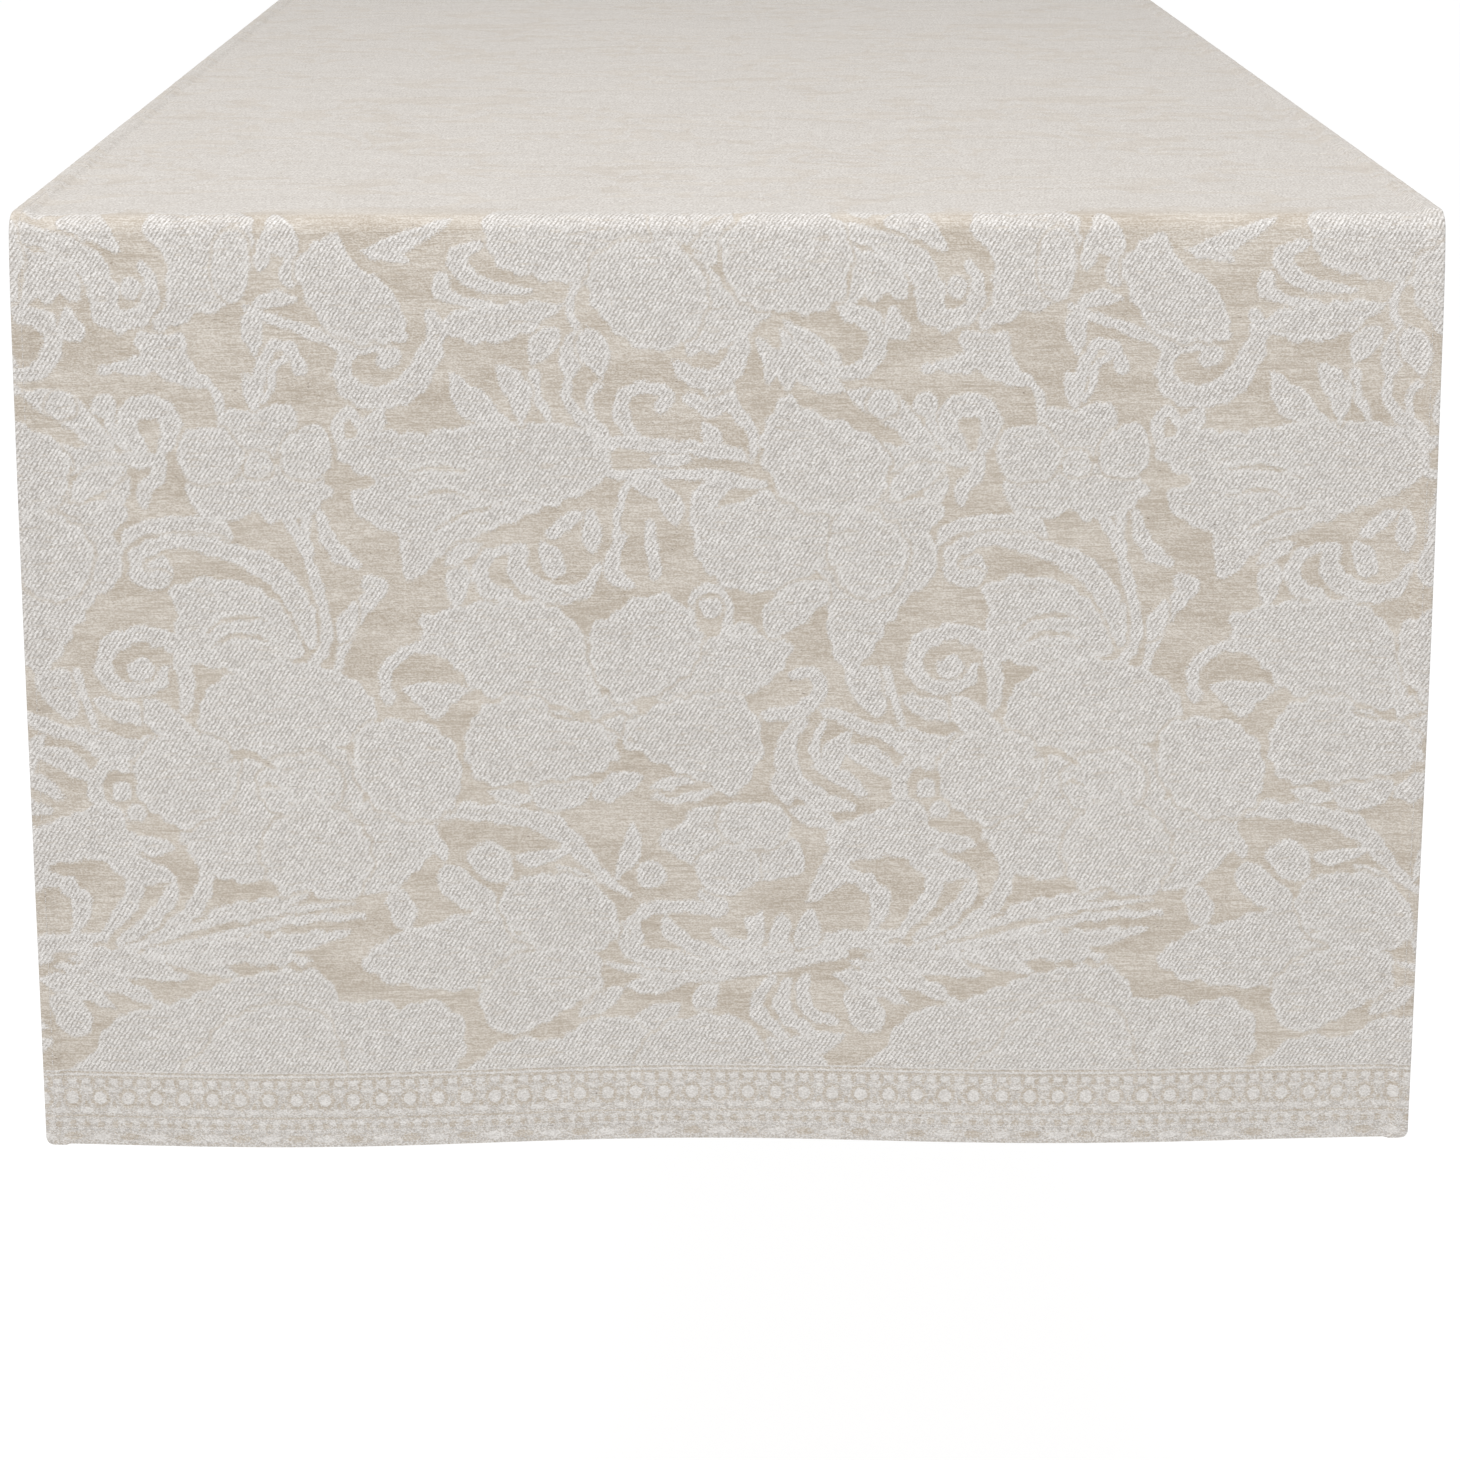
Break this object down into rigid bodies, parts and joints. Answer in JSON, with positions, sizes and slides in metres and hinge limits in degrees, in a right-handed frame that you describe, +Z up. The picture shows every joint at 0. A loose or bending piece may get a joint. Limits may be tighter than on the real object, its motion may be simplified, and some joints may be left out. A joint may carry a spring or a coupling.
{
  "type": "table runner",
  "caption": "Woven damask table runner draped across a table, with narrow stitched hems and two hanging ends that lift at the table edges.",
  "frame": {"origin": "middle of the underside of the cloth on the tabletop", "axes": "+Z up off the tabletop, X across the runner, Y along it: the front drop hangs on the -Y side of the table and the back drop on the +Y side"},
  "size_m": [0.5, 0.9248, 0.3444],
  "materials": {
    "cloth": "woven damask, cream satin-and-twill figure on a pale beige ground",
    "hem": "the same cloth turned under twice, wrong side out",
    "thread": "cream sewing thread"
  },
  "bodies": {
    "top_span": {"top_cloth": "cloth", "top_left_hem": "hem", "top_left_stitching": "thread", "top_right_hem": "hem", "top_right_stitching": "thread"},
    "front_drop": {"front_drop_cloth": "cloth", "front_end_hem": "hem", "front_end_stitching": "thread", "front_left_hem": "hem", "front_left_stitching": "thread", "front_right_hem": "hem", "front_right_stitching": "thread"},
    "back_drop": {"back_drop_cloth": "cloth", "back_end_hem": "hem", "back_end_stitching": "thread", "back_left_hem": "hem", "back_left_stitching": "thread", "back_right_hem": "hem", "back_right_stitching": "thread"}
  },
  "joints": [
    {"name": "front_drop_lift", "type": "hinge", "parent": "top_span", "child": "front_drop", "pos_m": [0, -0.4624, -0.00615], "axis": [-1, 0, 0], "range_deg": [0, 90]},
    {"name": "back_drop_lift", "type": "hinge", "parent": "top_span", "child": "back_drop", "pos_m": [0, 0.4624, -0.00615], "axis": [1, 0, 0], "range_deg": [0, 90]}
  ]
}
